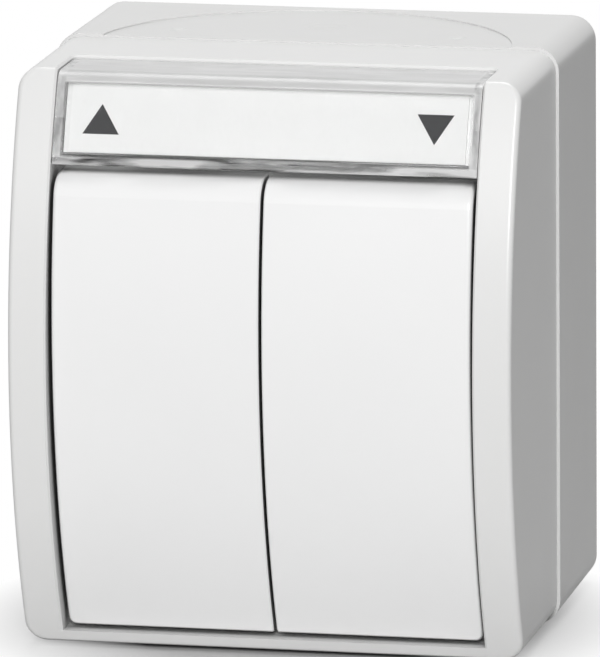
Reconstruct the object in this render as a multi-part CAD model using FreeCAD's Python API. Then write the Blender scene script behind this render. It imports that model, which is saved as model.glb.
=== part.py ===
import FreeCAD, Part
import math
import os

# A splash-proof wall switch for a shutter, fixed on the wall: a moulded box, a moulded
# front with two bulging cheeks, two tall rockers side by side, and a clear window over a
# label card. Inside are a see-saw switch for each rocker, its terminals, seals and screws.
# X points right, Z points up and +Y points into the wall. The origin is the middle of
# the back face. All sizes are millimetres and degrees.

V = FreeCAD.Vector

# Outer form of box and cover
width = 75.0
height = 86.0
base_depth = 29.0
deck_ahead_of_joint = 20.0
crown_ahead_of_deck = 15.0
cheek_bulge = 9.66
draft_angle = 0.7
corner_radius = 3.6
cover_set_back = 0.45
base_wall = 2.6
back_wall = 2.6
cover_wall = 2.1
smallest_inner_radius = 0.5
cheek_edge_radius = 0.8
cheek_inner_bevel = 0.3

# Joint between box and cover
lip_wall = 1.05
lip_height = 3.0
lip_clearance = 0.1
seal_height = 0.9

# Half-round recess for cable entries on the top and bottom of the box
entry_recess_side_margin = 6.8
entry_recess_depth = 0.2
entry_recess_ahead = 3.7
entry_mark_behind_joint = 13.5
entry_mark_diameter = 6.4
entry_mark_height = 0.18
side_mark_spacing = 42.0
side_mark_behind_joint = 7.5
side_mark_diameter = 2.6
side_mark_height = 0.15
mark_foot_share = 0.7
mark_tip_share = 0.3

# Rear cable entry and its grommet
rear_entry_diameter = 16.0
grommet_flange_diameter = 21.0
grommet_flange = 1.1
grommet_clearance = 0.1
grommet_sunk = 0.15
grommet_wall = 1.2
grommet_barb = 1.0
grommet_barb_length = 1.2
grommet_step = 2.4
grommet_tip_diameter = 9.0

# Wall slots
slot_width = 4.4
slot_length = 8.0
slot_spacing = 60.0
slot_head_diameter = 8.6
slot_head_depth = 0.6
slot_end_flat = 0.002

# Opening for the rockers
cheek_width = 6.1
bottom_bar = 1.8
deck_thickness = 2.0
opening_wall = 1.6
side_gap = 0.5
seam_gap = 0.5
bottom_gap = 0.7

# Rockers, drawn in their middle position and then tilted to rest
rocker_behind_cheeks = 1.7
rocker_bulge = 8.78
rocker_window_gap = 0.95
rocker_roll_radius = 4.0
rocker_rim_ahead_of_deck = 3.6
rocker_shell = 1.8
rocker_corner_radius = 1.2
rocker_edge_radius = 0.7
rocker_seam_bevel = 0.2
rocker_rib = 1.2
rocker_rib_depth = 2.6
pivot_ahead_of_deck = 1.0
pivot_height = -6.0
rest_tilt = 2.0

# Toggles, on which the rockers clip
toggle_offset = 10.8
toggle_width = 18.5
toggle_half_height = 6.5
toggle_front_reach = 2.4
toggle_back_reach = 4.5
toggle_head_width = 12.0
toggle_head_height = 9.0
toggle_head_skin_gap = 0.7
toggle_stem_diameter = 6.4
toggle_stem_reach = 7.5
toggle_edge_radius = 1.5
trunnion_middle_gap = 0.2
trunnion_diameter = 3.0
trunnion_clearance = 0.05
collar_wall = 1.5
collar_clearance = 0.05
collar_end_reach = 3.6

# Plungers and springs in the toggles
plunger_diameter = 3.4
plunger_clearance = 0.08
plunger_nose_length = 1.4
plunger_nose_diameter = 0.9
plunger_tip_above_arm = 2.3
plunger_back_behind_pivot = 0.5
bore_end_ahead_of_pivot = 7.0
spring_wire = 0.45
spring_coils = 4
spring_end_gap = 0.02

# Bearing frame
frame_wall = 1.6
frame_centre_wall = 2.4
frame_plate = 2.0
frame_half_height = 11.0
frame_side_ahead_of_deck = 3.0
frame_end_behind_deck = 0.4
frame_deck_clearance = 0.3
frame_seal_width = 2.0
frame_seal_radius = 1.5
frame_seal_inner_radius = 0.3
frame_seal_clearance = 0.1
deck_opening_radius = 1.0
bearing_half_height = 4.0
toggle_side_clearance = 0.35
access_hole_diameter = 5.4

# Insert body
insert_half_width = 21.5
insert_half_height = 20.0
insert_front_behind_deck = 9.0
insert_depth = 22.0
insert_floor_behind_arm = 11.0
insert_wall = 1.2
insert_corner_radius = 1.0
chamber_half_height = 12.5
lug_thickness = 3.0
lug_half_height = 4.5
insert_screw_side_gap = 3.1

# See-saw contacts
arm_pivot_behind_rocker_pivot = 13.4
arm_width = 5.0
arm_half_length = 9.0
arm_thickness = 1.0
arm_rise = 1.0
arm_ear = 0.8
arm_ear_half_height = 2.0
arm_ear_reach = 1.1
arm_rest_tilt = 5.0
arm_pin_diameter = 1.5
arm_pin_clearance = 0.05
rivet_diameter = 2.6
rivet_height = 0.6
rivet_reach = 8.0
contact_gap_closed = 0.2
strip_thickness = 1.0
strip_width = 4.0
strip_clearance = 0.2
bar_half_height = 2.5
tab_end_gap = 0.6
riser_end_above_chamber = 2.3
pin_overhang = 0.4
post_half_width = 1.5
post_half_height = 1.2
foot_slot_room = 1.0
stop_ledge_overlap = 2.0
ledge_sunk = 1.0
ledge_into_wall = 0.5
bar_slot_side = 0.1

# Terminals
terminal_offset = 14.0
terminal_pocket_width = 7.4
terminal_pocket_back_wall = 6.0
terminal_wall = 1.2
clamp_width = 6.6
clamp_height = 5.6
clamp_depth = 9.0
clamp_side_wall = 1.1
clamp_front_wall = 1.8
clamp_seat_gap = 0.1
clamp_end_gap = 0.4
terminal_screw_diameter = 2.9
terminal_head_diameter = 5.0
terminal_head_height = 1.8
terminal_head_sunk = 2.5
terminal_screw_length = 8.7

# Screws and their pillars
pillar_diameter = 7.0
screw_diameter = 3.4
screw_clearance = 0.15
thread_clearance = 0.03
head_diameter = 6.2
head_height = 2.1
insert_screw_length = 9.0
cover_screw_side_margin = 12.5
cover_screw_below_window = 5.7
cover_screw_bottom_margin = 8.5
cover_seat_behind_deck = 3.5
cover_screw_length = 21.0
pillar_ahead_of_joint = 1.8
pillar_gap = 0.2
slot_depth = 0.9
slot_cut = 0.9
slot_reach_share = 0.32
screw_end_room = 1.0

# Label window, card and their seat
window_height = 13.8
window_set_back = 0.4
window_thickness = 1.7
window_top_drop = 0.5
window_bend_radius = 2.5
window_back_behind_crown = 20.0
window_side_gap = 0.15
window_seat_gap = 0.1
window_corner_radius = 2.0
recess_corner_radius = 1.2
card_side_gap = 0.8
card_bottom_gap = 0.15
card_thickness = 0.3
card_top_gap = 0.2
card_gap = 0.35
window_rim = 1.1
window_rim_depth = 2.6
rim_clearance = 0.15
catch_height = 3.2
catch_depth = 2.0
catch_height_above_bottom = 3.9
catch_clearance = 0.15
catch_hole_ahead_of_deck = 1.0

# Depths counted from the wall
deck_front_depth = base_depth + deck_ahead_of_joint
total_depth = deck_front_depth + crown_ahead_of_deck
window_back_depth = total_depth - window_back_behind_crown
rocker_crown_depth = total_depth - rocker_behind_cheeks
rocker_rim_depth = deck_front_depth + rocker_rim_ahead_of_deck
pivot_depth = deck_front_depth + pivot_ahead_of_deck
toggle_head_depth = rocker_crown_depth - rocker_shell - toggle_head_skin_gap
toggle_stem_depth = pivot_depth - toggle_stem_reach
collar_end_depth = pivot_depth + collar_end_reach
arm_pivot_depth = pivot_depth - arm_pivot_behind_rocker_pivot
plunger_tip_depth = arm_pivot_depth + plunger_tip_above_arm
plunger_back_depth = pivot_depth - plunger_back_behind_pivot
bore_end_depth = pivot_depth + bore_end_ahead_of_pivot
frame_side_depth = deck_front_depth + frame_side_ahead_of_deck
frame_end_depth = deck_front_depth - frame_end_behind_deck
insert_front_depth = deck_front_depth - insert_front_behind_deck
insert_back_depth = insert_front_depth - insert_depth
insert_floor_depth = arm_pivot_depth - insert_floor_behind_arm
terminal_pocket_floor = insert_back_depth + terminal_pocket_back_wall
terminal_head_depth = insert_front_depth - terminal_head_sunk
terminal_screw_end_depth = terminal_head_depth - terminal_screw_length
cover_seat_depth = deck_front_depth - cover_seat_behind_deck
pillar_depth = base_depth + pillar_ahead_of_joint

# Places across the front, counted from its middle
half_width = width / 2
half_height = height / 2
half_opening = half_width - cheek_width
entry_recess_radius = half_width - entry_recess_side_margin
window_bottom = half_height - window_height
rocker_top = window_bottom - rocker_window_gap
shelf_half_width = half_opening - window_side_gap - window_rim - rim_clearance
shelf_bottom = window_bottom + window_seat_gap + window_rim + rim_clearance
card_width = 2 * (shelf_half_width - card_side_gap)
card_bottom = shelf_bottom + card_bottom_gap
insert_screw_offset = insert_half_width + insert_screw_side_gap
frame_inner_half_width = toggle_offset + toggle_width / 2 + toggle_side_clearance
frame_half_width = frame_inner_half_width + frame_wall
cover_screw_x = half_width - cover_screw_side_margin
cover_screw_top = window_bottom - cover_screw_below_window
cover_screw_bottom = cover_screw_bottom_margin - half_height
slope = math.tan(math.radians(draft_angle))
joint_y = -base_depth
past = 5.0
near = 0.01


def box(x0, x1, y0, y1, z0, z1):
    """Block between two corners given in any order."""
    corner = V(min(x0, x1), min(y0, y1), min(z0, z1))
    return Part.makeBox(abs(x1 - x0), abs(y1 - y0), abs(z1 - z0), corner)


def rod_y(diameter, x, z, y0, y1):
    """Cylinder along Y between two depths."""
    return Part.makeCylinder(diameter / 2, abs(y1 - y0), V(x, min(y0, y1), z), V(0, 1, 0))


def rod_x(diameter, y, z, x0, x1):
    """Cylinder along X between two sides."""
    return Part.makeCylinder(diameter / 2, abs(x1 - x0), V(min(x0, x1), y, z), V(1, 0, 0))


def rod_z(diameter, x, y, z0, z1):
    """Cylinder along Z between two heights."""
    return Part.makeCylinder(diameter / 2, abs(z1 - z0), V(x, y, min(z0, z1)), V(0, 0, 1))


def rounded_outline(half_x, half_z, radius, y, x=0.0, z=0.0):
    """Rectangle with round corners in a plane of constant Y."""
    diagonal = radius * math.sqrt(0.5)
    edges = []
    corners = [(1, 1), (-1, 1), (-1, -1), (1, -1)]
    last = None
    first = None
    for side_x, side_z in corners:
        cx = x + side_x * (half_x - radius)
        cz = z + side_z * (half_z - radius)
        beside = V(cx + side_x * radius, y, cz)
        above = V(cx, y, cz + side_z * radius)
        middle = V(cx + side_x * diagonal, y, cz + side_z * diagonal)
        start, end = (beside, above) if side_x * side_z > 0 else (above, beside)
        if last is not None:
            edges.append(Part.LineSegment(last, start).toShape())
        else:
            first = start
        edges.append(Part.Arc(start, middle, end).toShape())
        last = end
    edges.append(Part.LineSegment(last, first).toShape())
    return Part.Wire(edges)


def rounded_block(half_x, half_z, radius, y0, y1, x=0.0, z=0.0):
    """Straight block with four round edges along Y."""
    face = Part.Face(rounded_outline(half_x, half_z, radius, y0, x, z))
    return face.extrude(V(0, y1 - y0, 0))


def drafted_block(half_x, half_z0, radius, y0, taper, y1):
    """Block with round edges whose top and bottom lean in by taper from y0 to y1."""
    wide = rounded_outline(half_x, half_z0, radius, y0)
    narrow = rounded_outline(half_x, half_z0 - taper, radius, y1)
    return Part.makeLoft([wide, narrow], True, True)


def front_cylinder(radius, y_centre):
    """Long round bar along X whose front side is the bulge of the front."""
    return rod_x(2 * radius, y_centre, 0.0, -width, width)


def prism_x(points, x0, x1):
    """Solid along X from a closed profile of points and arcs in Y and Z.

    A pair is a corner. A list of two pairs is an arc's middle and its end.
    """
    edges = []
    last = points[0]
    for step in points[1:] + [points[0]]:
        if isinstance(step, list):
            middle, end = step
            arc = Part.Arc(V(x0, *last), V(x0, *middle), V(x0, *end))
            edges.append(arc.toShape())
            last = end
        else:
            edges.append(Part.LineSegment(V(x0, *last), V(x0, *step)).toShape())
            last = step
    return Part.Face(Part.Wire(edges)).extrude(V(x1 - x0, 0, 0))


def front_y(radius, y_centre, z):
    """Y of the front side of a round bar along X at a height."""
    return y_centre - math.sqrt(radius ** 2 - z ** 2)


def mirrored(shape):
    """The same piece on the other side of the middle."""
    return shape.mirror(V(0, 0, 0), V(1, 0, 0))


def turned(shape, angle, y, z):
    """The shape turned about an axis along X."""
    copy = shape.copy()
    copy.rotate(V(0, y, z), V(1, 0, 0), angle)
    return copy


def save(name, shape):
    """Write one node."""
    shape.exportStep("parts/" + name + ".step")


# The cover's outer half sizes at the joint and how far its sides lean in at a depth
cover_half_width = half_width - cover_set_back
cover_half_height = half_height - cover_set_back
cover_corner_radius = corner_radius - cover_set_back


def bulge_radius(bulge):
    """Radius of an arc over the cover's height whose middle stands out by the bulge."""
    return (cover_half_height ** 2 + bulge ** 2) / (2 * bulge)


cheek_radius = bulge_radius(cheek_bulge)
rocker_radius = bulge_radius(rocker_bulge)
arc_centre_y = cheek_radius - total_depth
opening_bottom = bottom_bar - cover_half_height
deck_back_depth = deck_front_depth - deck_thickness
window_radius = cheek_radius - window_set_back
window_inner_radius = window_radius - window_thickness
shelf_radius = window_inner_radius - card_gap
window_top = cover_half_height - window_top_drop
shelf_top = window_top - window_thickness - window_seat_gap
recess_back_depth = window_back_depth - window_side_gap
groove_radius = window_inner_radius - window_rim_depth - rim_clearance
catch_x = half_opening - window_side_gap - window_rim / 2
catch_z = window_bottom + catch_height_above_bottom
inner_half_width = half_width - base_wall
inner_half_height = half_height - base_wall
inner_corner_radius = max(corner_radius - base_wall, smallest_inner_radius)
cover_screw_places = [(-cover_screw_x, cover_screw_top), (cover_screw_x, cover_screw_bottom)]


def entry_recess(side):
    """Half-round recess along the drafted top or bottom of the box, with its drill marks."""
    floor = half_height - entry_recess_depth
    centre_y = joint_y - entry_recess_ahead
    recess = rod_z(2 * entry_recess_radius, 0, centre_y, side * floor, side * (half_height + past))
    marks = [(0.0, entry_mark_behind_joint, entry_mark_diameter, entry_mark_height)]
    for x in (-side_mark_spacing / 2, side_mark_spacing / 2):
        marks.append((x, side_mark_behind_joint, side_mark_diameter, side_mark_height))
    for x, behind, diameter, rise in marks:
        foot = V(x, joint_y + behind, side * (floor - rise))
        slant = Part.makeCone(diameter * mark_foot_share, diameter * mark_tip_share, 2 * rise,
                              foot, V(0, 0, side))
        recess = recess.cut(slant)
    recess.rotate(V(0, joint_y, side * floor), V(1, 0, 0), -side * draft_angle)
    return recess


def make_base_box():
    """Back box with pillars, lip, wall slots and rear entry."""
    taper = base_depth * slope
    shape = drafted_block(half_width, half_height, corner_radius, joint_y, taper, 0.0)
    shape = shape.cut(rounded_block(inner_half_width, inner_half_height, inner_corner_radius,
                                    joint_y - past, -back_wall))
    lip_half_x = inner_half_width + lip_wall
    lip_half_z = inner_half_height + lip_wall
    lip = rounded_block(lip_half_x, lip_half_z, inner_corner_radius + lip_wall, joint_y,
                        joint_y - lip_height)
    lip = lip.cut(rounded_block(inner_half_width, inner_half_height, inner_corner_radius,
                                joint_y + past, joint_y - lip_height - past))
    shape = shape.fuse(lip)
    for x, z in cover_screw_places:
        shape = shape.fuse(rod_y(pillar_diameter, x, z, -back_wall / 2, -pillar_depth))
    for x in (-insert_screw_offset, insert_screw_offset):
        pillar = rod_y(pillar_diameter, x, pivot_height, -back_wall / 2, -insert_back_depth)
        shape = shape.fuse(pillar)
    thread = screw_diameter + 2 * thread_clearance
    for x, z in cover_screw_places:
        end = cover_seat_depth - cover_screw_length - screw_end_room
        shape = shape.cut(rod_y(thread, x, z, -end, -pillar_depth - past))
    for x in (-insert_screw_offset, insert_screw_offset):
        end = insert_back_depth + lug_thickness - insert_screw_length - screw_end_room
        shape = shape.cut(rod_y(thread, x, pivot_height, -end, -insert_back_depth - past))
    for side in (-1, 1):
        shape = shape.cut(entry_recess(side))
        z = side * slot_spacing / 2
        slot = rounded_block(slot_width / 2, slot_length / 2, (slot_width - slot_end_flat) / 2,
                             past, -back_wall - past, 0.0, z)
        seat = rounded_block(slot_head_diameter / 2,
                             (slot_length + slot_head_diameter - slot_width) / 2,
                             (slot_head_diameter - slot_end_flat) / 2,
                             -back_wall + slot_head_depth, -back_wall - past, 0.0, z)
        shape = shape.cut(slot).cut(seat)
    shape = shape.cut(rod_y(rear_entry_diameter, 0, 0, past, -back_wall - past))
    shape = shape.cut(rod_y(grommet_flange_diameter + 2 * grommet_clearance, 0, 0, past,
                            -grommet_flange))
    return shape.removeSplitter()


def make_rear_grommet():
    """Rubber plug that snaps into the rear entry, with a thin cup for the cable."""
    neck = rear_entry_diameter / 2 - grommet_clearance
    flange = grommet_flange_diameter / 2
    tip = grommet_tip_diameter / 2
    inside = back_wall + grommet_clearance
    barb = neck + grommet_barb
    root = inside + grommet_barb_length
    end = root + grommet_step
    steps = [
        (0.0, -grommet_sunk), (flange, -grommet_sunk), (flange, -grommet_flange),
        (neck, -grommet_flange), (neck, -inside), (barb, -inside), (neck, -root),
        (tip, -root), (tip, -end), (0.0, -end),
    ]
    hollow = [
        (0.0, past), (neck - grommet_wall, past), (neck - grommet_wall, -root + grommet_wall),
        (tip - grommet_wall, -root + grommet_wall), (tip - grommet_wall, -end + grommet_wall),
        (0.0, -end + grommet_wall),
    ]
    solids = []
    for outline in (steps, hollow):
        points = [V(r, y, 0) for r, y in outline]
        face = Part.Face(Part.makePolygon(points + [points[0]]))
        solids.append(face.revolve(V(0, 0, 0), V(0, 1, 0), 360))
    return solids[0].cut(solids[1])


def well_cutter():
    """Space of the rockers: from the front down to the deck."""
    return box(-half_opening, half_opening, -total_depth - past, -deck_front_depth,
               opening_bottom, window_bottom)


def window_recess_cutter():
    """Space of the window and card: in front of the shelf, round it and above its top."""
    ahead = box(-half_opening, half_opening, -total_depth - past, -recess_back_depth,
                window_bottom, half_height + past)
    shelf = box(-shelf_half_width, shelf_half_width, -total_depth - past, past,
                shelf_bottom, half_height + past)
    shelf = shelf.common(front_cylinder(shelf_radius, arc_centre_y))
    ahead = ahead.cut(front_cylinder(groove_radius, arc_centre_y)).cut(shelf)
    half_y = (total_depth + past - recess_back_depth) / 2
    face_y = -recess_back_depth
    above = box(-half_opening, half_opening, face_y, face_y - 2 * half_y,
                shelf_top, half_height + past)
    corners = []
    for edge in above.Edges:
        middle = edge.CenterOfMass
        if abs(middle.y - face_y) < near and abs(abs(middle.x) - half_opening) < near:
            corners.append(edge)
    above = above.makeFillet(recess_corner_radius, corners)
    return ahead.fuse(above)


def cover_cavity():
    """Hollow of the cover behind the deck, inside the cheeks and behind the label shelf."""
    cavity_radius = max(cover_corner_radius - cover_wall, smallest_inner_radius)
    cavity = rounded_block(cover_half_width - cover_wall, cover_half_height - cover_wall,
                           cavity_radius, joint_y, -total_depth)
    cavity = cavity.common(front_cylinder(cheek_radius - cover_wall, arc_centre_y))
    side = half_opening + opening_wall
    well = box(-side, side, -total_depth - past, -deck_back_depth,
               opening_bottom - opening_wall, window_bottom)
    cavity = cavity.cut(well)
    above_shelf = box(-side, side, -total_depth - past, -recess_back_depth + opening_wall,
                      shelf_top - opening_wall, half_height + past)
    before_shelf = box(-side, side, -total_depth - past, -base_depth,
                       window_bottom, half_height + past)
    before_shelf = before_shelf.cut(front_cylinder(shelf_radius - opening_wall, arc_centre_y))
    return cavity.cut(above_shelf).cut(before_shelf)


def front_edges(shape, radius, chosen):
    """Edges of the bulging front face that the test picks by their middle point."""
    edges = []
    for face in shape.Faces:
        surface = face.Surface
        if isinstance(surface, Part.Cylinder) and abs(surface.Radius - radius) < near:
            for edge in face.Edges:
                middle = edge.valueAt((edge.FirstParameter + edge.LastParameter) / 2)
                if chosen(edge, middle):
                    edges.append(edge)
    return edges


def make_front_cover():
    """Front moulding: cheeks, bottom bar, deck, label shelf, screw bosses and lip rebate."""
    shape = rounded_block(cover_half_width, cover_half_height, cover_corner_radius,
                          joint_y, -total_depth - past)
    shape = shape.common(front_cylinder(cheek_radius, arc_centre_y))
    outer = front_edges(shape, cheek_radius, lambda edge, middle: True)
    shape = shape.makeFillet(cheek_edge_radius, outer)
    shape = shape.cut(well_cutter()).cut(window_recess_cutter())

    def beside_opening(edge, middle):
        return abs(abs(middle.x) - half_opening) < near and edge.Length > window_height / 2
    inner = front_edges(shape, cheek_radius, beside_opening)
    shape = shape.makeChamfer(cheek_inner_bevel, inner)
    shape = shape.cut(cover_cavity())
    for x, z in cover_screw_places:
        boss = rod_y(pillar_diameter, x, z, -deck_back_depth - deck_thickness / 2,
                     -pillar_depth - pillar_gap)
        shape = shape.fuse(boss)
    for x, z in cover_screw_places:
        shape = shape.cut(rod_y(screw_diameter + 2 * screw_clearance, x, z, -base_depth,
                                -deck_front_depth - past))
        shape = shape.cut(rod_y(head_diameter + 2 * screw_clearance, x, z, -cover_seat_depth,
                                -deck_front_depth - past))
    side = frame_half_width + frame_deck_clearance
    end = frame_half_height + frame_deck_clearance
    shape = shape.cut(rounded_block(side, end, deck_opening_radius, -deck_back_depth + past,
                                    -deck_front_depth - past, 0.0, pivot_height))
    rebate_x = inner_half_width + lip_wall + lip_clearance
    rebate_z = inner_half_height + lip_wall + lip_clearance
    rebate = rounded_block(rebate_x, rebate_z, inner_corner_radius + lip_wall, joint_y + past,
                           joint_y - lip_height - seal_height)
    shape = shape.cut(rebate)
    for side_x in (-1, 1):
        hole_x = window_rim / 2 + catch_clearance
        hole_z = catch_height / 2 + catch_clearance
        shape = shape.cut(box(side_x * catch_x - hole_x, side_x * catch_x + hole_x,
                              -total_depth, -deck_front_depth - catch_hole_ahead_of_deck,
                              catch_z - hole_z, catch_z + hole_z))
    return shape.removeSplitter()


def make_cover_seal():
    """Rubber ring that the lip of the box presses into the cover's rebate."""
    start = joint_y - lip_height
    end = start - seal_height
    outer = rounded_block(inner_half_width + lip_wall, inner_half_height + lip_wall,
                          inner_corner_radius + lip_wall, start, end)
    inner = rounded_block(inner_half_width, inner_half_height, inner_corner_radius,
                          start + past, end - past)
    return outer.cut(inner)


def rocker_block(inset, x0, x1, back_depth):
    """Solid with the rocker's side outline, drawn a given distance inside its skin."""
    centre_y = rocker_radius - rocker_crown_depth
    radius = rocker_radius - inset
    roll = rocker_roll_radius - inset
    roll_z = rocker_top - rocker_roll_radius
    roll_y = front_y(rocker_radius - rocker_roll_radius, centre_y, roll_z)
    bottom = opening_bottom + bottom_gap + inset
    lean = math.atan2(roll_z, centre_y - roll_y)
    touch = (centre_y - radius * math.cos(lean), radius * math.sin(lean))
    half = (lean + math.pi / 2) / 2
    roll_middle = (roll_y - roll * math.cos(half), roll_z + roll * math.sin(half))
    points = [
        (-back_depth, bottom),
        (front_y(radius, centre_y, bottom), bottom),
        [(front_y(radius, centre_y, 0.0), 0.0), touch],
        [roll_middle, (roll_y, roll_z + roll)],
        (-back_depth, roll_z + roll),
    ]
    return prism_x(points, x0, x1)


rocker_seam_x = seam_gap / 2
rocker_side_x = half_opening - side_gap
pivot_y = -pivot_depth
collar_x = toggle_head_width / 2 + collar_clearance
collar_z = toggle_head_height / 2 + collar_clearance


def make_rocker():
    """Right rocker: thin curved plate with skirts, clip collar and stiffening ribs."""
    shape = rocker_block(0.0, rocker_seam_x, rocker_side_x, rocker_rim_depth)
    shape = shape.makeFillet(rocker_corner_radius, rocker_bottom_corner(shape))
    shape = shape.makeFillet(rocker_edge_radius, rocker_long_edge(shape, rocker_side_x))
    shape = shape.makeChamfer(rocker_seam_bevel, rocker_long_edge(shape, rocker_seam_x))
    hollow = rocker_block(rocker_shell, rocker_seam_x + rocker_shell,
                          rocker_side_x - rocker_shell, rocker_rim_depth - past)
    for rib in rocker_ribs(hollow):
        hollow = hollow.cut(rib)
    shape = shape.cut(hollow)
    return turned(shape.removeSplitter(), rest_tilt, pivot_y, pivot_height)


def rocker_bottom_corner(shape):
    """Short edge at the bottom of the rocker's side next to the cheek."""
    edges = []
    for edge in shape.Edges:
        middle = edge.valueAt((edge.FirstParameter + edge.LastParameter) / 2)
        at_side = abs(middle.x - rocker_side_x) < near
        if at_side and abs(middle.z - opening_bottom - bottom_gap) < near:
            edges.append(edge)
    return edges


def rocker_long_edge(shape, side_x):
    """Curved front edge of one side of the rocker, with which its tangent edges go."""
    edges = []
    for edge in shape.Edges:
        middle = edge.valueAt((edge.FirstParameter + edge.LastParameter) / 2)
        in_front = middle.y < -rocker_rim_depth - near
        if abs(middle.x - side_x) < near and edge.Length > rocker_top and in_front:
            edges.append(edge)
    return edges


def rocker_ribs(hollow):
    """Collar that grips the toggle's head, and ribs from it to the skirts."""
    x = toggle_offset
    z = pivot_height
    front = -rocker_crown_depth - past
    outer_x = collar_x + collar_wall
    outer_z = collar_z + collar_wall
    collar = box(x - outer_x, x + outer_x, -collar_end_depth, front, z - outer_z, z + outer_z)
    collar = collar.cut(box(x - collar_x, x + collar_x, past, front - past,
                            z - collar_z, z + collar_z))
    below_ribs = front_cylinder(rocker_radius - rocker_shell - rocker_rib_depth,
                                rocker_radius - rocker_crown_depth)
    band = hollow.cut(below_ribs)
    ribs = [collar]
    for rib_x in (x - outer_x, x + outer_x - rocker_rib):
        for z0, z1 in ((-half_height, z - outer_z), (z + outer_z, half_height)):
            ribs.append(band.common(box(rib_x, rib_x + rocker_rib, past, front, z0, z1)))
    for z0 in (z - outer_z, z + outer_z - rocker_rib):
        ribs.append(band.common(box(x + outer_x, half_width, past, front, z0, z0 + rocker_rib)))
    return ribs


def make_toggle():
    """Right toggle: barrel between its bearings, head for the rocker, stem with a bore."""
    x = toggle_offset
    z = pivot_height
    half = toggle_width / 2
    shape = box(x - half, x + half, pivot_y - toggle_front_reach, pivot_y + toggle_back_reach,
                z - toggle_half_height, z + toggle_half_height)
    long_edges = [edge for edge in shape.Edges if abs(edge.tangentAt(0).x) > 0.99]
    shape = shape.makeFillet(toggle_edge_radius, long_edges)
    head = box(x - toggle_head_width / 2, x + toggle_head_width / 2, pivot_y,
               -toggle_head_depth, z - toggle_head_height / 2, z + toggle_head_height / 2)
    shape = shape.fuse(head)
    shape = shape.fuse(rod_y(toggle_stem_diameter, x, z, pivot_y, -toggle_stem_depth))
    reach = toggle_side_clearance + frame_centre_wall / 2 - trunnion_middle_gap
    shape = shape.fuse(rod_x(trunnion_diameter, pivot_y, z, x - half - reach, x + half + reach))
    bore = plunger_diameter + 2 * plunger_clearance
    shape = shape.cut(rod_y(bore, x, z, -toggle_stem_depth + past, -bore_end_depth))
    return turned(shape.removeSplitter(), rest_tilt, pivot_y, z)


def make_plunger():
    """Right plunger: blunt-nosed pin that the spring pushes on the see-saw."""
    x = toggle_offset
    z = pivot_height
    shoulder = -plunger_tip_depth - plunger_nose_length
    shape = rod_y(plunger_diameter, x, z, -plunger_back_depth, shoulder)
    nose = Part.makeCone(plunger_diameter / 2, plunger_nose_diameter / 2, plunger_nose_length,
                         V(x, shoulder, z), V(0, 1, 0))
    return turned(shape.fuse(nose), rest_tilt, pivot_y, z)


def make_spring():
    """Right coil spring between the end of the bore and the plunger."""
    start = plunger_back_depth + spring_wire / 2 + spring_end_gap
    end = bore_end_depth - spring_wire / 2 - spring_end_gap
    length = end - start
    mean_radius = (plunger_diameter - spring_wire) / 2
    helix = Part.makeHelix(length / spring_coils, length, mean_radius)
    half = spring_wire / 2
    corners = [V(mean_radius - half, 0, 0), V(mean_radius, 0, half),
               V(mean_radius + half, 0, 0), V(mean_radius, 0, -half),
               V(mean_radius - half, 0, 0)]
    profile = Part.makePolygon(corners)
    shape = Part.Wire(helix.Edges).makePipeShell([profile], True, True)
    shape.rotate(V(0, 0, 0), V(1, 0, 0), 90)
    shape.translate(V(toggle_offset, -start, pivot_height))
    return turned(shape, rest_tilt, pivot_y, pivot_height)


def make_contact_arm():
    """Right see-saw: strip with two ears on the pivot pin and one rivet."""
    x = toggle_offset
    y = -arm_pivot_depth
    z = pivot_height
    half = arm_width / 2
    plate_back = y - arm_rise
    shape = box(x - half, x + half, plate_back, plate_back - arm_thickness,
                z - arm_half_length, z + arm_half_length)
    for x0, x1 in ((x - half, x - half + arm_ear), (x + half - arm_ear, x + half)):
        shape = shape.fuse(box(x0, x1, plate_back - arm_thickness / 2, y + arm_ear_reach,
                               z - arm_ear_half_height, z + arm_ear_half_height))
    hole = arm_pin_diameter + 2 * arm_pin_clearance
    shape = shape.cut(rod_x(hole, y, z, x - half - past, x + half + past))
    shape = shape.fuse(rod_y(rivet_diameter, x, z - rivet_reach, plate_back,
                             plate_back + rivet_height))
    return turned(shape.removeSplitter(), -arm_rest_tilt, y, z)


def closed_rivet_y():
    """Depth of the lowest point of the arm's rivet when its contact is closed."""
    angle = math.radians(arm_rest_tilt)
    reach = rivet_reach + rivet_diameter / 2
    low = -arm_rise + rivet_height
    return -arm_pivot_depth + low * math.cos(angle) + reach * math.sin(angle)


strip_y0 = -insert_floor_depth
strip_y1 = -insert_floor_depth - strip_thickness
chamber_top = pivot_height + chamber_half_height
chamber_bottom = pivot_height - chamber_half_height
insert_top = pivot_height + insert_half_height
insert_bottom = pivot_height - insert_half_height
terminal_top_z = insert_top - clamp_height / 2 - clamp_end_gap
terminal_bottom_z = insert_bottom + clamp_height / 2 + clamp_end_gap


def make_common_bar():
    """Stamped bar on the chamber floor with a pivot post under each see-saw."""
    half = strip_width / 2
    z = pivot_height
    shape = box(-terminal_offset - half, terminal_offset + half, strip_y0, strip_y1,
                z - bar_half_height, z + bar_half_height)
    for side in (-1, 1):
        tab_x = side * terminal_offset
        shape = shape.fuse(box(tab_x - half, tab_x + half, strip_y0, strip_y1,
                               z, insert_top - tab_end_gap))
        x = side * toggle_offset
        top = -arm_pivot_depth - arm_pin_diameter / 2
        shape = shape.fuse(box(x - post_half_width, x + post_half_width, strip_y0, top,
                               z - post_half_height, z + post_half_height))
        pin = arm_width / 2 + pin_overhang
        shape = shape.fuse(rod_x(arm_pin_diameter, -arm_pivot_depth, z, x - pin, x + pin))
    return shape.removeSplitter()


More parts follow.
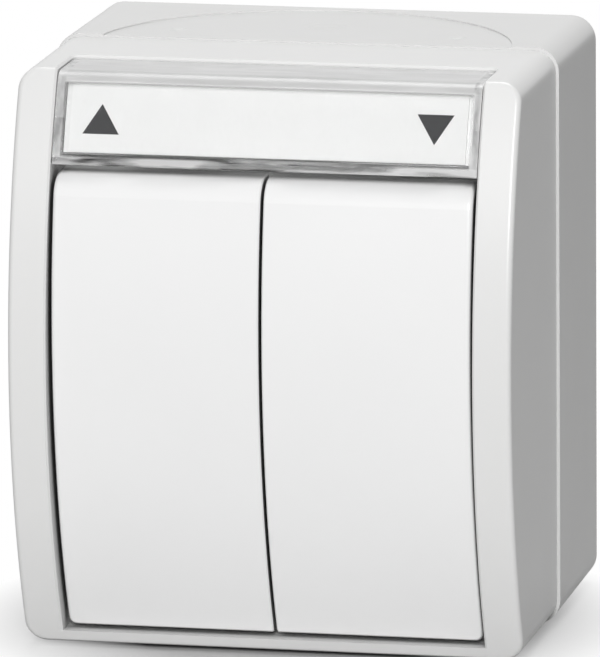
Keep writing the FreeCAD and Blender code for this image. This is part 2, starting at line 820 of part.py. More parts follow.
def make_fixed_contact():
    """Right fixed contact: foot from the terminal, riser, finger and rivet."""
    half = strip_width / 2
    x = toggle_offset
    rivet_front = closed_rivet_y() + contact_gap_closed
    finger_front = rivet_front + rivet_height
    finger_back = finger_front + strip_thickness
    riser_z1 = chamber_bottom + riser_end_above_chamber
    riser_z0 = riser_z1 - strip_thickness
    rivet_z = pivot_height - rivet_reach
    foot_end = terminal_offset + half
    shape = box(x - half, x + half, finger_front, finger_back, riser_z0, rivet_z + half)
    shape = shape.fuse(box(x - half, x + half, finger_front, strip_y0, riser_z0, riser_z1))
    shape = shape.fuse(box(x - half, foot_end, strip_y0, strip_y1, riser_z1,
                           chamber_bottom - terminal_wall))
    shape = shape.fuse(box(terminal_offset - half, foot_end, strip_y0, strip_y1,
                           riser_z1, insert_bottom + tab_end_gap))
    shape = shape.fuse(rod_y(rivet_diameter, x, rivet_z, rivet_front, finger_front))
    return shape.removeSplitter()


def make_insert_body():
    """Moulded block: contact chambers, terminal pockets, arm stops and fixing lugs."""
    shape = rounded_block(insert_half_width, insert_half_height, insert_corner_radius,
                          -insert_back_depth, -insert_front_depth, 0.0, pivot_height)
    lug_end = insert_screw_offset + pillar_diameter / 2
    lug = box(-lug_end, lug_end, -insert_back_depth, -insert_back_depth - lug_thickness,
              pivot_height - lug_half_height, pivot_height + lug_half_height)
    shape = shape.fuse(lug)
    front = -insert_front_depth - past
    centre = frame_centre_wall / 2
    for side in (-1, 1):
        shape = shape.cut(box(side * centre, side * (insert_half_width - insert_wall), strip_y0,
                              front, chamber_bottom, chamber_top))
        x = side * terminal_offset
        half = terminal_pocket_width / 2
        shape = shape.cut(box(x - half, x + half, -terminal_pocket_floor, front,
                              chamber_top + terminal_wall, insert_top + past))
        shape = shape.cut(box(x - half, x + half, -terminal_pocket_floor, front,
                              chamber_bottom - terminal_wall, insert_bottom - past))
        tab = strip_width / 2 + strip_clearance
        shape = shape.cut(box(x - tab, x + tab, strip_y0, strip_y1 - strip_clearance,
                              pivot_height, insert_top))
        shape = shape.cut(box(side * (toggle_offset - tab), x + side * tab, strip_y0,
                              strip_y1 - strip_clearance, pivot_height,
                              chamber_bottom - terminal_wall - foot_slot_room))
        ledge_end = terminal_offset - strip_width / 2 - 2 * strip_clearance
        shape = shape.fuse(box(side * (toggle_offset - arm_width / 2), side * ledge_end,
                               -insert_back_depth - ledge_sunk, -arm_pivot_depth,
                               pivot_height + arm_half_length - stop_ledge_overlap,
                               chamber_top + ledge_into_wall))
        screw_x = side * insert_screw_offset
        shape = shape.cut(rod_y(screw_diameter + 2 * screw_clearance, screw_x, pivot_height,
                                0.0, front))
    bar_slot = bar_half_height + strip_clearance
    shape = shape.cut(box(-centre - bar_slot_side, centre + bar_slot_side, strip_y0,
                          strip_y1 - strip_clearance, pivot_height - bar_slot,
                          pivot_height + bar_slot))
    bar_tab = box(-terminal_offset - strip_width / 2 - strip_clearance,
                  terminal_offset + strip_width / 2 + strip_clearance,
                  strip_y0, strip_y1 - strip_clearance, pivot_height - bar_half_height,
                  pivot_height + bar_half_height)
    return shape.cut(bar_tab).removeSplitter()


def make_bearing_frame():
    """Plate on the insert body with a raised frame that bears both toggles."""
    plate_back = -insert_front_depth
    plate_front = plate_back - frame_plate
    side = frame_inner_half_width
    outer = frame_half_width
    z = pivot_height
    inner_z = frame_half_height - frame_wall
    shape = rounded_block(insert_half_width, insert_half_height, insert_corner_radius,
                          plate_back, plate_front, 0.0, z)
    shape = shape.fuse(box(-outer, outer, plate_back, -frame_end_depth,
                           z - frame_half_height, z + frame_half_height))
    for x0, x1 in ((-outer, -side), (-frame_centre_wall / 2, frame_centre_wall / 2),
                   (side, outer)):
        shape = shape.fuse(box(x0, x1, plate_back, -frame_side_depth,
                               z - bearing_half_height, z + bearing_half_height))
    for x0 in (-side, frame_centre_wall / 2):
        shape = shape.cut(box(x0, x0 + side - frame_centre_wall / 2, plate_back + past,
                              -frame_side_depth - past, z - inner_z, z + inner_z))
    bearing = trunnion_diameter + 2 * trunnion_clearance
    shape = shape.cut(rod_x(bearing, pivot_y, z, -outer - past, outer + past))
    for terminal_z in (terminal_bottom_z, terminal_top_z):
        for x in (-terminal_offset, terminal_offset):
            shape = shape.cut(rod_y(access_hole_diameter, x, terminal_z, plate_back + past,
                                    plate_front - past))
    return shape.removeSplitter()


def make_frame_seal():
    """Rubber ring round the raised frame, pressed between its plate and the deck."""
    side = frame_half_width + frame_seal_clearance
    end = frame_half_height + frame_seal_clearance
    start = -insert_front_depth - frame_plate
    outer = rounded_block(side + frame_seal_width, end + frame_seal_width, frame_seal_radius,
                          start, -deck_back_depth, 0.0, pivot_height)
    inner = rounded_block(side, end, frame_seal_inner_radius, start + past,
                          -deck_back_depth - past, 0.0, pivot_height)
    return outer.cut(inner)


def make_terminal_clamp(x, z):
    """Brass cage with a window for the wire and the strip."""
    back = -terminal_pocket_floor - clamp_seat_gap
    front = back - clamp_depth
    half = clamp_width / 2
    shape = box(x - half, x + half, back, front, z - clamp_height / 2, z + clamp_height / 2)
    window = half - clamp_side_wall
    shape = shape.cut(box(x - window, x + window, back - clamp_side_wall,
                          front + clamp_front_wall, z - height, z + height))
    hole = terminal_screw_diameter + 2 * thread_clearance
    return shape.cut(rod_y(hole, x, z, front - past, front + clamp_front_wall + near))


def make_screw(x, z, seat_depth, length, diameter, head, head_rise):
    """Screw along Y with a round head and a cross slot, its head towards the front."""
    seat = -seat_depth
    shape = rod_y(diameter, x, z, seat, seat + length)
    shape = shape.fuse(rod_y(head, x, z, seat, seat - head_rise))
    front = seat - head_rise
    arm = head * slot_reach_share
    half = slot_cut / 2
    floor = front + slot_depth
    shape = shape.cut(box(x - arm, x + arm, front - past, floor, z - half, z + half))
    shape = shape.cut(box(x - half, x + half, front - past, floor, z - arm, z + arm))
    return shape.removeSplitter()


def make_screw_group(places, seat_depth, length, diameter, head, head_rise):
    """Several equal screws as one node."""
    screws = [make_screw(x, z, seat_depth, length, diameter, head, head_rise)
              for x, z in places]
    return Part.makeCompound(screws)


def window_profile(inset, bottom, back_depth):
    """Side outline of the window's outer or inner skin, from its foot to its rear edge."""
    radius = window_radius - inset
    bend = window_bend_radius - inset
    bend_z = window_top - window_bend_radius
    bend_y = front_y(window_radius - window_bend_radius, arc_centre_y, bend_z)
    lean = math.atan2(bend_z, arc_centre_y - bend_y)
    touch = (arc_centre_y - radius * math.cos(lean), radius * math.sin(lean))
    half = (lean + math.pi / 2) / 2
    bend_middle = (bend_y - bend * math.cos(half), bend_z + bend * math.sin(half))
    mid_z = (bottom + touch[1]) / 2
    return [
        (front_y(radius, arc_centre_y, bottom), bottom),
        [(front_y(radius, arc_centre_y, mid_z), mid_z), touch],
        [bend_middle, (bend_y, bend_z + bend)],
        (-back_depth, bend_z + bend),
    ]


def make_label_window():
    """Clear moulding: curved front, rolled top edge and top leg, rim and two catches."""
    half = half_opening - window_side_gap
    bottom = window_bottom + window_seat_gap
    outer = window_profile(0.0, bottom, window_back_depth)
    outer = outer + [(-window_back_depth, bottom)]
    inner = window_profile(window_thickness, bottom + window_rim, window_back_depth - past)
    inner = inner + [(-window_back_depth + past, bottom + window_rim)]
    shape = prism_x(outer, -half, half)
    corners = []
    for edge in shape.Edges:
        middle = edge.CenterOfMass
        if abs(middle.y + window_back_depth) < near and abs(abs(middle.x) - half) < near:
            corners.append(edge)
    shape = shape.makeFillet(window_corner_radius, corners)
    shape = shape.cut(prism_x(inner, window_rim - half, half - window_rim))
    behind_rim = front_cylinder(window_inner_radius - window_rim_depth, arc_centre_y)
    under_top = box(-width, width, -total_depth, past, 0.0, window_top - window_thickness)
    shape = shape.cut(behind_rim.common(under_top))
    rim_y = front_y(window_inner_radius - window_rim_depth / 2, arc_centre_y, catch_z)
    for side in (-1, 1):
        x = side * catch_x
        shape = shape.fuse(box(x - window_rim / 2, x + window_rim / 2, rim_y,
                               rim_y + window_rim_depth / 2 + catch_depth,
                               catch_z - catch_height / 2, catch_z + catch_height / 2))
    return shape.removeSplitter()


def make_label_card():
    """Thin card on the shelf behind the window."""
    top = shelf_top - card_top_gap
    points = []
    for radius, z0, z1 in ((shelf_radius + card_thickness, card_bottom, top),
                           (shelf_radius, top, card_bottom)):
        middle = (z0 + z1) / 2
        points.append((front_y(radius, arc_centre_y, z0), z0))
        points.append([(front_y(radius, arc_centre_y, middle), middle),
                       (front_y(radius, arc_centre_y, z1), z1)])
    return prism_x(points, -card_width / 2, card_width / 2)


os.makedirs("parts", exist_ok=True)

save("base_box", make_base_box())
save("front_cover", make_front_cover())
save("cover_seal", make_cover_seal())
save("rear_grommet", make_rear_grommet())
save("insert_body", make_insert_body())
save("bearing_frame", make_bearing_frame())
save("frame_seal", make_frame_seal())
save("common_contact_bar", make_common_bar())
save("label_window", make_label_window())
save("label_card", make_label_card())

for piece, make in (("rocker", make_rocker), ("toggle", make_toggle),
                    ("plunger", make_plunger), ("spring", make_spring),
                    ("contact_arm", make_contact_arm), ("fixed_contact", make_fixed_contact)):
    right_piece = make()
    save("right_" + piece, right_piece)
    save("left_" + piece, mirrored(right_piece))

terminal_places = []
for level, level_z in (("top", terminal_top_z), ("bottom", terminal_bottom_z)):
    for side_name, side_x in (("left", -terminal_offset), ("right", terminal_offset)):
        save("terminal_clamp_" + level + "_" + side_name, make_terminal_clamp(side_x, level_z))
        terminal_places.append((side_x, level_z))

save("terminal_screws", make_screw_group(
    terminal_places, terminal_head_depth, terminal_head_depth - terminal_screw_end_depth,
    terminal_screw_diameter, terminal_head_diameter, terminal_head_height))
save("insert_screws", make_screw_group(
    [(-insert_screw_offset, pivot_height), (insert_screw_offset, pivot_height)],
    insert_back_depth + lug_thickness, insert_screw_length, screw_diameter,
    head_diameter, head_height))
save("cover_screws", make_screw_group(
    cover_screw_places, cover_seat_depth, cover_screw_length, screw_diameter,
    head_diameter, head_height))
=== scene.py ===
"""Looks of a splash-proof surface-mounted shutter switch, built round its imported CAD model."""
import math

import bpy
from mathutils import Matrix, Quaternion, Vector


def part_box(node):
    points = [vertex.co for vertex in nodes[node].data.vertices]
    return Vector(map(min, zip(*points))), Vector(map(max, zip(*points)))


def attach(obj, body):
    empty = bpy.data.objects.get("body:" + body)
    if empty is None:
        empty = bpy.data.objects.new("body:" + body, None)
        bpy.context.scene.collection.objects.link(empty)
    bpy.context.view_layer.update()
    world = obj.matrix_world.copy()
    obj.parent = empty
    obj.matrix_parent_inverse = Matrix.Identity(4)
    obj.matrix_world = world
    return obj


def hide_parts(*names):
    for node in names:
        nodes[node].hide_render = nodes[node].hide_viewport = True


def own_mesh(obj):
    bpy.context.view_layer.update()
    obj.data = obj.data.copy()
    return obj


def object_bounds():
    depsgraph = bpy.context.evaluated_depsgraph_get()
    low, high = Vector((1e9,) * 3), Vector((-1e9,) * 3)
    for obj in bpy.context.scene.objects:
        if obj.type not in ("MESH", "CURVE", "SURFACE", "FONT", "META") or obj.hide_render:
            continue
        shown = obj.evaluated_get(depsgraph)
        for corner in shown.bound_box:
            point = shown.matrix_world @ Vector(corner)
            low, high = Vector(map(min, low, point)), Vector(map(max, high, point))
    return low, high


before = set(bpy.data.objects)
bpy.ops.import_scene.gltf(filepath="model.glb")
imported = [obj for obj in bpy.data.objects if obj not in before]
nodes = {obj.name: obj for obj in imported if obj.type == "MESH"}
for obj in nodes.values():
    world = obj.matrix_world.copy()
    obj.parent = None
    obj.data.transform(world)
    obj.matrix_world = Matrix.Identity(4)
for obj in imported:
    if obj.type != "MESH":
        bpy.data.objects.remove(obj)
cad_low, cad_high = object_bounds()


# Box and front cover: the two white shells of the housing.
# Both are injection moulded in the same impact-proof plastic with a soft gloss, and
# two screws under the rockers hold them together. The box's white is painted a
# little darker as shade, and the cover is painted near black in the narrow gaps
# round the rockers as their shadow.

class Signal:
    """A number that a node gives out, ready for sums."""

    def __init__(self, sheet, socket):
        self.sheet = sheet
        self.socket = socket

    def combined(self, operation, first, second):
        return self.sheet.node("ShaderNodeMath", {"operation": operation},
                               {0: first, 1: second})

    def __add__(self, other):
        return self.combined("ADD", self, other)

    def __radd__(self, other):
        return self.combined("ADD", other, self)

    def __sub__(self, other):
        return self.combined("SUBTRACT", self, other)

    def __rsub__(self, other):
        return self.combined("SUBTRACT", other, self)

    def __mul__(self, other):
        return self.combined("MULTIPLY", self, other)

    def __rmul__(self, other):
        return self.combined("MULTIPLY", other, self)


class NodeSheet:
    """The nodes of one finish, or of the surround."""

    def __init__(self, tree):
        self.tree = tree

    def node(self, kind, settings, inputs, output=0):
        """Adds a node: its settings first, then the values or links of its sockets."""
        made = self.tree.nodes.new(kind)
        for name, value in settings.items():
            setattr(made, name, value)
        for key, value in inputs.items():
            if isinstance(value, Signal):
                self.tree.links.new(value.socket, made.inputs[key])
            else:
                made.inputs[key].default_value = value
        return Signal(self, made.outputs[output])

    def ramp(self, signal, low, high, start=0.0, end=1.0):
        """Even rise from start to end between two levels of a signal."""
        return self.node("ShaderNodeMapRange", {"clamp": True}, {
            "Value": signal, "From Min": low, "From Max": high, "To Min": start, "To Max": end})


class Finish(NodeSheet):
    """A material on the standard shader, with its pattern nodes."""

    def __init__(self, name, **fixed):
        self.material = bpy.data.materials.new(name)
        self.material.use_nodes = True
        super().__init__(self.material.node_tree)
        self.shader = self.tree.nodes["Principled BSDF"]
        for socket, value in fixed.items():
            self.shader.inputs[socket.replace("_", " ")].default_value = value
        self.place = self.node("ShaderNodeTexCoord", {}, {}, "Object")

    def along(self, axis):
        """Place on the piece along X, Y or Z, in metres."""
        return self.node("ShaderNodeSeparateXYZ", {}, {0: self.place}, axis)

    def noise(self, size, detail=2.0, stretch=(1, 1, 1)):
        """Cloudy pattern whose patches are about a given size in metres."""
        place = self.node("ShaderNodeMapping", {}, {"Vector": self.place, "Scale": stretch})
        return self.node("ShaderNodeTexNoise", {}, {
            "Vector": place, "Scale": 1 / size, "Detail": detail})

    def blend(self, amount, first, second):
        """Mix of two colours."""
        return self.node("ShaderNodeMix", {"data_type": "RGBA"},
                         {"Factor": amount, 6: first, 7: second}, 2)

    def feed(self, socket, signal):
        self.tree.links.new(signal.socket, self.shader.inputs[socket])

    def mix_surface(self, share, other):
        """Lets another shader take a share of the surface."""
        own = Signal(self, self.shader.outputs[0])
        mixed = self.node("ShaderNodeMixShader", {}, {0: share, 1: own, 2: other})
        self.tree.links.new(mixed.socket, self.tree.nodes["Material Output"].inputs["Surface"])

    def relief(self, height, depth, previous=None):
        """Bump of a given depth in metres, laid over an earlier one."""
        inputs = {"Height": height, "Strength": 1.0, "Distance": depth}
        if previous:
            inputs["Normal"] = previous
        return self.node("ShaderNodeBump", {}, inputs)


def moulded_plastic(name, colour, roughness, peel=0.0000016, grain=0.0000005, tint=0.97,
                    gap_shade_reach=None):
    """Moulded plastic: faint clouding, slight orange peel and a very fine tool grain.

    Given a reach, it also paints shade into its colour, below the label, where it
    faces another wall within that distance: the narrow gaps round the rockers are
    coloured near black as their shadow.
    """
    cloud_size, cloud_detail = 0.022, 3.0
    gloss_patch, gloss_detail, gloss_swing = 0.009, 4.0, 0.08
    peel_size, peel_detail = 0.0016, 1.0
    grain_size, grain_detail = 0.00012, 2.0
    # Near-black painted shade for the faces inside the narrow gaps.
    painted_gap_shade_colour = (0.07, 0.07, 0.07, 1)
    shut_in, open_enough = 0.08, 0.42
    fade_from, fade_to = 0.0302, 0.0298

    finish = Finish(name, Specular_IOR_Level=0.5)
    cloud = finish.noise(cloud_size, cloud_detail)
    shaded = tuple(part * tint for part in colour)
    tone = finish.blend(cloud, (*shaded, 1), (*colour, 1))
    # Painted shade: an occlusion mask, below the label, colours faces that look into a narrow
    # gap near black, as the gaps' shadow.
    if gap_shade_reach:
        openness = finish.node("ShaderNodeAmbientOcclusion", {"samples": 16},
                               {"Distance": gap_shade_reach}, "AO")
        below_label = finish.ramp(finish.along("Z"), fade_from, fade_to)
        painted_gap_shade = (1.0 - finish.ramp(openness, shut_in, open_enough)) * below_label
        tone = finish.blend(painted_gap_shade, tone, painted_gap_shade_colour)
    finish.feed("Base Color", tone)
    touch = finish.noise(gloss_patch, gloss_detail)
    finish.feed("Roughness", touch * gloss_swing + (roughness - gloss_swing / 2))
    wave = finish.relief(finish.noise(peel_size, peel_detail), peel)
    finish.feed("Normal", finish.relief(finish.noise(grain_size, grain_detail), grain, wave))
    return finish.material


def dress(node, material):
    """Gives a CAD node its finish."""
    slots = nodes[node].data.materials
    slots.clear()
    slots.append(material)


# Reach of the painted gap shade, used on the cover and on the rockers.
rocker_gap_shade_reach = 0.0025
dress("front_cover", moulded_plastic("cover_white", (0.75, 0.75, 0.745), 0.30,
                                     gap_shade_reach=rocker_gap_shade_reach))
# Painted shade: the box is the cover's plastic, given a darker white for the shade on its sides.
dress("base_box", moulded_plastic("box_white_painted_shade", (0.68, 0.68, 0.675), 0.32))


# Rockers: the two tall tilting keys, one for up and one for down.
# They are moulded in a brighter white than the housing and from a polished tool,
# so they shine a little more, and each snaps on the toggle behind it.

# The rockers get the same painted gap shade along their edges as the cover.
rocker_white = moulded_plastic("rocker_white", (0.85, 0.85, 0.85), 0.22, peel=0.0000010,
                               gap_shade_reach=rocker_gap_shade_reach)
for side in ("left", "right"):
    dress(f"{side}_rocker", rocker_white)


# Label: a card of stiff white paper under the clear window, with an up arrow
# on the left and a down arrow on the right. It is bent to the curve of its
# shelf, and the arrows are printed in dark grey ink.

card_dull, card_bright = (0.79, 0.79, 0.785, 1), (0.83, 0.83, 0.825, 1)
fibre_size, fibre_detail, fibre_stretch, fibre_depth = 0.0005, 4.0, (1.0, 1.0, 0.35), 0.000006
card = Finish("card_paper", Specular_IOR_Level=0.3, Roughness=0.75)
fibre = card.noise(fibre_size, fibre_detail, fibre_stretch)
card.feed("Base Color", card.blend(fibre, card_dull, card_bright))
card.feed("Normal", card.relief(fibre, fibre_depth))
dress("label_card", card.material)

ink_dark, ink_pale = (0.012, 0.012, 0.013, 1), (0.022, 0.022, 0.024, 1)
speckle_size, speckle_detail = 0.0004, 3.0
ink_roughness, ink_roughness_swing = 0.45, 0.2
ink = Finish("arrow_ink", Specular_IOR_Level=0.1)
speckle = ink.noise(speckle_size, speckle_detail)
ink.feed("Base Color", ink.blend(speckle, ink_dark, ink_pale))
ink.feed("Roughness", speckle * ink_roughness_swing + ink_roughness)

arrow_width, arrow_height, arrow_middle_z = 0.0054, 0.0041, 0.0353
up_arrow_x, down_arrow_x = -0.0246, 0.0245
ink_thickness = 0.00003
arrow_cuts = 7
start_ahead_of_card = 0.001
corner_reach = arrow_width / math.sqrt(3)
card_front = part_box("label_card")[0].y
for name, middle_x, points in (("up_arrow", up_arrow_x, 1), ("down_arrow", down_arrow_x, -1)):
    place = (middle_x, card_front - start_ahead_of_card,
             arrow_middle_z - points * arrow_height / 6)
    bpy.ops.object.select_all(action="DESELECT")
    bpy.ops.mesh.primitive_circle_add(
        vertices=3, radius=corner_reach, fill_type="NGON", location=place,
        rotation=(math.radians(90), 0 if points > 0 else math.radians(180), 0))
    arrow = bpy.context.object
    arrow.name = name
    bpy.ops.object.transform_apply(location=True, rotation=True)
    bpy.ops.object.mode_set(mode="EDIT")
    bpy.ops.mesh.subdivide(number_cuts=arrow_cuts)
    bpy.ops.transform.resize(value=(1, 1, arrow_height / (1.5 * corner_reach)),
                             center_override=place)
    bpy.ops.object.mode_set(mode="OBJECT")
    bend = arrow.modifiers.new("bend_to_card", "SHRINKWRAP")
    bend.target = nodes["label_card"]
    bend.wrap_method = "PROJECT"
    bend.use_project_y = True
    bend.offset = ink_thickness
    coat = arrow.modifiers.new("ink_coat", "SOLIDIFY")
    coat.thickness = ink_thickness
    coat.offset = -1
    bpy.ops.object.modifier_apply(modifier="bend_to_card")
    bpy.ops.object.modifier_apply(modifier="ink_coat")
    arrow.data.materials.append(ink.material)
    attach(arrow, "housing")


# Window: one clear moulding that caps the label and reaches round the top edge
# of the front. It is thin glossy plastic, held by two catches in the cover. The
# grey and white streaks that its thick rim makes of the light are painted: a
# grey matt surface mixed in by streaky patterns over the foot, the side strips
# and the top cap.

clear_dull, clear_bright = (0.945, 0.95, 0.95, 1), (0.975, 0.98, 0.98, 1)
haze_size, haze_detail = 0.004, 3.0
ripple_size, ripple_detail, ripple_depth = 0.003, 1.0, 0.000002
light_let_through = 0.95
window = Finish("window_clear", Transmission_Weight=1.0, IOR=1.36, Roughness=0.02,
                Specular_IOR_Level=0.15)
haze = window.noise(haze_size, haze_detail)
window.feed("Base Color", window.blend(haze, clear_dull, clear_bright))
lamp_ray = window.node("ShaderNodeLightPath", {}, {}, "Is Shadow Ray")
soft_ray = window.node("ShaderNodeLightPath", {}, {}, "Is Diffuse Ray")
window.feed("Alpha", 1.0 - (lamp_ray + soft_ray) * light_let_through)
window.feed("Normal", window.relief(window.noise(ripple_size, ripple_detail), ripple_depth))

card_low, card_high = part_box("label_card")
edge_blur = 0.0003
strip_starts = card_high.x + 0.0007
foot_ends = card_low.z - 0.0001
cap_starts = card_high.z + 0.0004
across = window.along("X")
height = window.along("Z")
strips = window.ramp(across * across, strip_starts ** 2, (strip_starts + edge_blur) ** 2)
foot = window.ramp(height, foot_ends, foot_ends - edge_blur)
cap = window.ramp(height, cap_starts, cap_starts + edge_blur)

# Painted refraction: streaky grey shares over the rim's foot, side strips and top cap.
level_streaks = window.noise(0.004, 3.0, (0.25, 1.0, 1.8))
upright_streaks = window.noise(0.003, 3.0, (1.5, 1.0, 0.3))
painted_foot_streaks = window.ramp(level_streaks, 0.44, 0.58, 0.0, 0.8)
painted_strip_streaks = window.ramp(upright_streaks, 0.35, 0.60, 0.35, 0.85)
painted_cap_streaks = window.ramp(level_streaks, 0.35, 0.65, 0.68, 0.86)
# Painted light and shade of the rim: a grey matt surface mixed into the clear one, standing in
# for the streaks that refraction makes.
painted_rim_streaks = window.node("ShaderNodeBsdfPrincipled", {}, {
    "Base Color": (0.64, 0.64, 0.64, 1), "Roughness": 0.3})
window.mix_surface(foot * painted_foot_streaks + strips * (1.0 - foot) * painted_strip_streaks
                   + cap * (1.0 - strips) * painted_cap_streaks, painted_rim_streaks)
dress("label_window", window.material)


# Seals and rear grommet: soft rubber. Two dark rings keep water out between
# cover and box and round the bearing frame, and a grey stepped membrane lets
# the cable in from the wall.

def rubber(name, colour, roughness):
    """Soft matt rubber with a faint bloom."""
    bloom_size, bloom_detail, bloom_swing = 0.003, 4.0, 0.15
    bloom_gain, bloom_lift = 1.35, 0.01
    skin_size, skin_detail, skin_depth = 0.0003, 3.0, 0.000006
    finish = Finish(name, Specular_IOR_Level=0.35)
    bloom = finish.noise(bloom_size, bloom_detail)
    pale = tuple(part * bloom_gain + bloom_lift for part in colour)
    finish.feed("Base Color", finish.blend(bloom, (*colour, 1), (*pale, 1)))
    finish.feed("Roughness", bloom * bloom_swing + roughness)
    finish.feed("Normal", finish.relief(finish.noise(skin_size, skin_detail), skin_depth))
    return finish.material


seal_rubber = rubber("seal_rubber", (0.022, 0.022, 0.024), 0.55)
for ring in ("cover_seal", "frame_seal"):
    dress(ring, seal_rubber)
dress("rear_grommet", rubber("grommet_rubber", (0.30, 0.30, 0.305), 0.50))


# Switch insert: the grey body with its contact chambers, the pale bearing
# frame clipped on its front, and the toggles and plungers that move in them.
# All are plain technical mouldings, matt from a lightly eroded tool.

dress("insert_body", moulded_plastic("insert_grey", (0.13, 0.135, 0.14), 0.50,
                                     grain=0.0000015, tint=0.9))
dress("bearing_frame", moulded_plastic("frame_grey", (0.52, 0.52, 0.50), 0.46,
                                       grain=0.0000012, tint=0.94))
toggle_white = moulded_plastic("toggle_white", (0.68, 0.68, 0.66), 0.42, grain=0.000001)
plunger_cream = moulded_plastic("plunger_cream", (0.72, 0.68, 0.56), 0.38)
for side in ("left", "right"):
    dress(f"{side}_toggle", toggle_white)
    dress(f"{side}_plunger", plunger_cream)


# Metal inside: stamped brass contacts and see-saws, plated clamps and
# zinc-plated screws. Stampings show the roll lines of their strip, and
# screws the faint lines of the lathe.

def metal(name, colour, roughness, lines=(1, 1, 14), dark=0.8):
    """Metal with fine drawn lines and light tarnish."""
    line_size, line_detail, line_depth, line_swing = 0.0022, 3.0, 0.000004, 0.16
    tarnish_size, tarnish_detail = 0.004, 4.0
    finish = Finish(name, Metallic=1.0)
    drawn = finish.noise(line_size, line_detail, lines)
    tarnish = finish.noise(tarnish_size, tarnish_detail)
    dull = tuple(part * dark for part in colour)
    finish.feed("Base Color", finish.blend(tarnish, (*dull, 1), (*colour, 1)))
    finish.feed("Roughness", drawn * line_swing + roughness)
    finish.feed("Normal", finish.relief(drawn, line_depth))
    return finish.material


contact_brass = metal("contact_brass", (0.72, 0.50, 0.19), 0.24)
dress("common_contact_bar", contact_brass)
for side in ("left", "right"):
    dress(f"{side}_contact_arm", contact_brass)
    dress(f"{side}_fixed_contact", contact_brass)
clamp_plate = metal("clamp_plate", (0.63, 0.60, 0.50), 0.30)
for end in ("top", "bottom"):
    for side in ("left", "right"):
        dress(f"terminal_clamp_{end}_{side}", clamp_plate)
zinc = metal("screw_zinc", (0.60, 0.61, 0.63), 0.26, (1, 12, 1), 0.85)
for screws in ("terminal_screws", "insert_screws", "cover_screws"):
    dress(screws, zinc)


# Plunger springs: a coil of round steel wire in the bore of each toggle, which
# pushes the plunger on the see-saw. It stands on the closed end of the bore.

wire_steel = metal("spring_wire", (0.55, 0.55, 0.56), 0.20, (6, 1, 6), 0.9)
wire_diameter, wire_sides = 0.00045, 12
coil_radius, coil_turns, coil_steps = 0.001475, 4, 28
coil_length, wire_clearance = 0.00701, 0.000245
smooth_angle = math.radians(50)
rocker_axis_y, rocker_axis_z, toggle_middle_x = -0.050, -0.006, 0.0108
bore_end_reach, plunger_behind_axis, plunger_travel = 0.007, 0.0005, 0.0008
bore_lean = math.radians(2)
bore_way = Vector((0, -math.cos(bore_lean), -math.sin(bore_lean)))
for side, middle_x in (("left", -toggle_middle_x), ("right", toggle_middle_x)):
    bore_end = Vector((middle_x, rocker_axis_y, rocker_axis_z)) + bore_way * bore_end_reach
    coil_start = bore_end - bore_way * (coil_length + wire_clearance)
    bpy.ops.object.select_all(action="DESELECT")
    bpy.ops.mesh.primitive_circle_add(
        vertices=wire_sides, radius=wire_diameter / 2, fill_type="NOTHING",
        location=coil_start, rotation=(math.radians(90) + bore_lean, 0, 0))
    coil = bpy.context.object
    coil.name = f"{side}_coil"
    bpy.ops.object.mode_set(mode="EDIT")
    bpy.ops.transform.rotate(value=math.radians(90), orient_axis="X",
                             center_override=coil_start)
    bpy.ops.transform.translate(value=(coil_radius, 0, 0))
    bpy.ops.object.mode_set(mode="OBJECT")
    winding = coil.modifiers.new("winding", "SCREW")
    winding.axis = "Z"
    winding.angle = math.radians(360)
    winding.screw_offset = coil_length / coil_turns
    winding.iterations = coil_turns
    winding.steps = winding.render_steps = coil_steps
    bpy.ops.object.modifier_apply(modifier="winding")
    bpy.ops.object.mode_set(mode="EDIT")
    bpy.ops.mesh.select_all(action="SELECT")
    bpy.ops.mesh.fill_holes(sides=0)
    bpy.ops.mesh.select_all(action="SELECT")
    bpy.ops.mesh.normals_make_consistent(inside=False)
    bpy.ops.object.mode_set(mode="OBJECT")
    bpy.ops.object.shade_smooth_by_angle(angle=smooth_angle)
    bpy.ops.object.transform_apply(location=True, rotation=True)
    coil.data.materials.append(wire_steel)
    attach(coil, f"{side}_rocker_body")
    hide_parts(f"{side}_spring")
    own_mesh(coil)


# Studio: a pale floor under the switch, a white surround and two soft lamps.
# The floor keeps the shadow next to the switch and fades to plain white. The
# key lamp stands in front, a little to the right, and the other above the back.

floor_radius, floor_sides, floor_drop = 3.0, 96, 0.0002
floor_dull, floor_bright = (0.55, 0.55, 0.55, 1), (0.57, 0.57, 0.57, 1)
switch_middle_y = -0.032
shadow_reach, white_from = 0.028, 0.052
floor_level = cad_low.z
bpy.ops.object.select_all(action="DESELECT")
bpy.ops.mesh.primitive_circle_add(vertices=floor_sides, radius=floor_radius, fill_type="NGON",
                                  location=(0, 0, floor_level - floor_drop))
floor = bpy.context.object
floor.name = "floor"
bpy.ops.object.transform_apply(location=True)
cloth = Finish("floor_white", Roughness=0.9, Specular_IOR_Level=0.1)
cloth.feed("Base Color", cloth.blend(cloth.noise(0.05), floor_dull, floor_bright))
aside = cloth.node("ShaderNodeVectorMath", {"operation": "SUBTRACT"},
                   {0: cloth.place, 1: (0, switch_middle_y, floor_level)})
distance = cloth.node("ShaderNodeVectorMath", {"operation": "LENGTH"}, {0: aside}, "Value")
seen = cloth.node("ShaderNodeLightPath", {}, {}, "Is Camera Ray")
glow = cloth.node("ShaderNodeEmission", {}, {"Color": (1, 1, 1, 1), "Strength": 1.0})
cloth.mix_surface(seen * cloth.ramp(distance, shadow_reach, white_from), glow)
floor.data.materials.append(cloth.material)

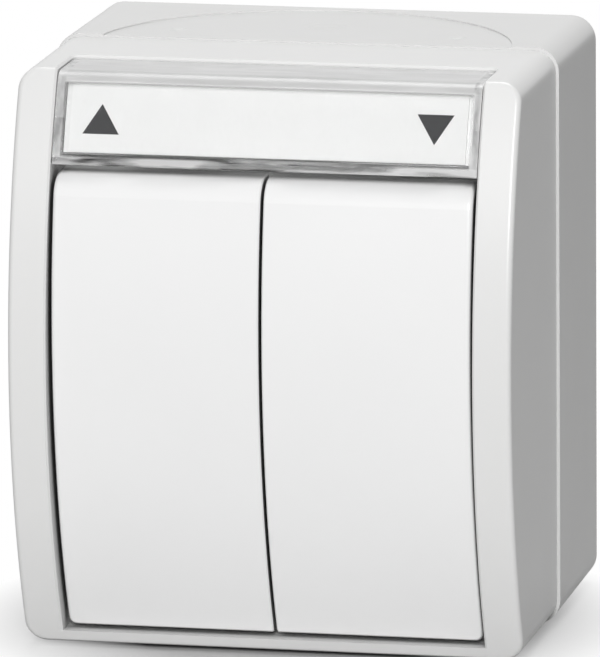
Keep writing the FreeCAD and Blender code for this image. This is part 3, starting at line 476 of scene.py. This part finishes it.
surround_light = 0.13
world = bpy.data.worlds.new("surround")
bpy.context.scene.world = world
world.use_nodes = True
surround = NodeSheet(world.node_tree)
white_seen = surround.node("ShaderNodeLightPath", {}, {}, "Is Camera Ray")
for path in ("Is Glossy Ray", "Is Transmission Ray"):
    ray = surround.node("ShaderNodeLightPath", {}, {}, path)
    white_seen = surround.node("ShaderNodeMath", {"operation": "MAXIMUM"},
                               {0: white_seen, 1: ray})
strength = surround.ramp(white_seen, 0.0, 1.0, surround_light, 1.0)
background = world.node_tree.nodes["Background"]
world.node_tree.links.new(strength.socket, background.inputs["Strength"])
background.inputs["Color"].default_value = (1, 1, 1, 1)


def soft_lamp(name, place, width, power):
    """Square softbox aimed at the middle of the switch."""
    data = bpy.data.lights.new(name, "AREA")
    data.shape = "SQUARE"
    data.size = width
    data.energy = power
    lamp = bpy.data.objects.new(name, data)
    bpy.context.scene.collection.objects.link(lamp)
    lamp.location = place
    aim = Vector((0, -0.03, 0)) - Vector(place)
    lamp.rotation_euler = aim.to_track_quat("-Z", "Y").to_euler()


soft_lamp("key_softbox", (0.23, -1.63, 0.73), 0.62, 24.3)
soft_lamp("top_softbox", (0.0, 0.32, 1.10), 0.60, 6.8)


# Camera: at the photograph's viewing angle, from the right and a little above,
# with a long lens, so the switch fills the frame as it does there.

azimuth, elevation, roll = math.radians(12.26), math.radians(11.84), math.radians(-0.43)
camera_distance = 1.6
look_at = Vector((-0.00066, -0.032, 0.00059))
back = Vector((math.sin(azimuth) * math.cos(elevation),
               -math.cos(azimuth) * math.cos(elevation), math.sin(elevation)))
camera_data = bpy.data.cameras.new("photo_camera")
camera_data.lens = 598.04
camera_data.clip_start, camera_data.clip_end = 0.05, 20
camera = bpy.data.objects.new("photo_camera", camera_data)
bpy.context.scene.collection.objects.link(camera)
camera.rotation_mode = "QUATERNION"
camera.location = look_at + back * camera_distance
turn = Quaternion((0, 0, 1), roll)
camera.rotation_quaternion = (-back).to_track_quat("-Z", "Y") @ turn
bpy.context.scene.camera = camera
bpy.context.scene.view_settings.view_transform = "Standard"
